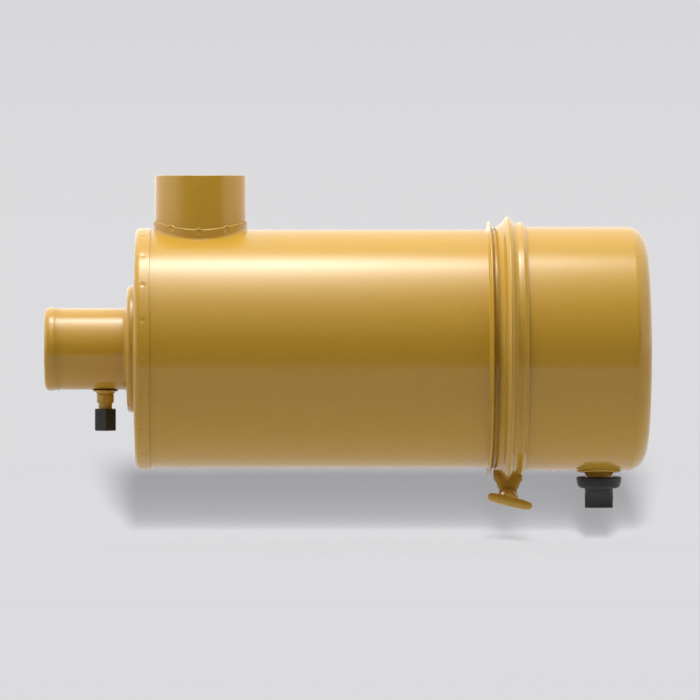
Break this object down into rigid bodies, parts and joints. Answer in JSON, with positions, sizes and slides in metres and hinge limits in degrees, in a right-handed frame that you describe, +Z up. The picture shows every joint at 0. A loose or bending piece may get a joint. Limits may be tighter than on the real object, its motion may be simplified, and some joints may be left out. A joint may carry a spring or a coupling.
{
  "type": "two-stage dry air cleaner",
  "caption": "Painted steel engine air cleaner with a side inlet, an axial hose outlet, a clamped dust cover, a rubber unloader valve and two pull-out filter elements",
  "frame": {"origin": "on the barrel's axis, midway between the barrel's ends, where the mounting bands hold it", "axes": "+X along the barrel from the outlet to the dust cover, +Z up through the inlet, +Y away from the clamp's handle"},
  "size_m": [0.7592, 0.3334, 0.4173],
  "materials": {
    "paint": "glossy mustard yellow enamel on sheet steel",
    "rubber": "matte black moulded rubber",
    "black_plastic": "satin black moulded plastic",
    "plated_steel": "zinc-plated steel",
    "liner_steel": "galvanised perforated sheet",
    "filter_paper": "resin-impregnated pleated filter paper",
    "vane_plastic": "dark grey moulded plastic"
  },
  "bodies": {
    "housing": {"barrel": "paint", "inlet_neck": "paint", "stop_rib": "paint", "barrel_flange": "paint", "outlet_head": "paint", "outlet_tube": "paint", "inlet_tube": "paint", "port_flange": "paint", "port_adapter": "paint", "yoke_spider": "plated_steel", "yoke_rod": "plated_steel"},
    "port_cap": {"port_cap": "black_plastic"},
    "cover": {"cover": "paint", "cover_gasket": "rubber", "cover_baffle": "paint", "valve_spigot": "paint"},
    "unloader_valve": {"unloader_valve": "rubber"},
    "clamp_front": {"clamp_band_front": "paint", "clamp_lug_front": "paint", "clamp_washer": "paint"},
    "clamp_rear": {"clamp_band_rear": "paint", "clamp_lug_rear": "paint", "clamp_nut": "paint"},
    "clamp_screw": {"clamp_screw": "paint", "clamp_handle": "paint", "clamp_spacer": "paint"},
    "primary_element": {"element_gasket": "rubber", "element_open_cap": "plated_steel", "element_inner_liner": "liner_steel", "element_paper": "filter_paper", "element_outer_liner": "liner_steel", "element_closed_cap": "plated_steel", "shroud": "vane_plastic", "vane_ring": "vane_plastic"},
    "nut_seal": {"nut_seal": "rubber"},
    "wing_nut": {"wing_nut": "plated_steel"},
    "safety_element": {"safety_gasket": "rubber", "safety_open_cap": "plated_steel", "safety_paper": "filter_paper", "safety_closed_cap": "plated_steel"},
    "safety_nut": {"safety_nut": "plated_steel"}
  },
  "joints": [
    {"name": "cover_slide", "type": "slide", "parent": "housing", "child": "cover", "axis": [1, 0, 0], "range_m": [0, 0.62]},
    {"name": "element_slide", "type": "slide", "parent": "housing", "child": "primary_element", "axis": [1, 0, 0], "range_m": [0, 0.466]},
    {"name": "nut_seal_slide", "type": "slide", "parent": "housing", "child": "nut_seal", "axis": [1, 0, 0], "range_m": [0, 0.528]},
    {"name": "wing_nut_spin", "type": "hinge", "parent": "nut_seal", "child": "wing_nut", "pos_m": [0.2149, 0, 0], "axis": [1, 0, 0], "continuous": true},
    {"name": "safety_slide", "type": "slide", "parent": "housing", "child": "safety_element", "axis": [1, 0, 0], "range_m": [0, 0.218]},
    {"name": "safety_nut_spin", "type": "hinge", "parent": "safety_element", "child": "safety_nut", "pos_m": [0.1219, 0, 0], "axis": [1, 0, 0], "continuous": true},
    {"name": "clamp_front_swing", "type": "hinge", "parent": "cover", "child": "clamp_front", "pos_m": [0.2328, 0, 0.1667], "axis": [-1, 0, 0], "range_deg": [0, 0.55]},
    {"name": "clamp_rear_swing", "type": "hinge", "parent": "cover", "child": "clamp_rear", "pos_m": [0.2328, 0, 0.1667], "axis": [1, 0, 0], "range_deg": [0, 0.551]},
    {"name": "clamp_screw_spin", "type": "hinge", "parent": "clamp_front", "child": "clamp_screw", "pos_m": [0.234, -0.0572, -0.1845], "axis": [0, 1, 0], "continuous": true},
    {"name": "unloader_valve_slide", "type": "slide", "parent": "cover", "child": "unloader_valve", "axis": [0, 0, -1], "range_m": [0, 0.03]},
    {"name": "port_cap_slide", "type": "slide", "parent": "housing", "child": "port_cap", "axis": [0, 0, -1], "range_m": [0, 0.025]}
  ],
  "couplings": [
    {"joint": "element_slide", "follows": "cover_slide", "ratio": 0.75},
    {"joint": "nut_seal_slide", "follows": "cover_slide", "ratio": 0.85},
    {"joint": "safety_slide", "follows": "cover_slide", "ratio": 0.35},
    {"joint": "clamp_rear_swing", "follows": "clamp_front_swing", "ratio": 1}
  ]
}
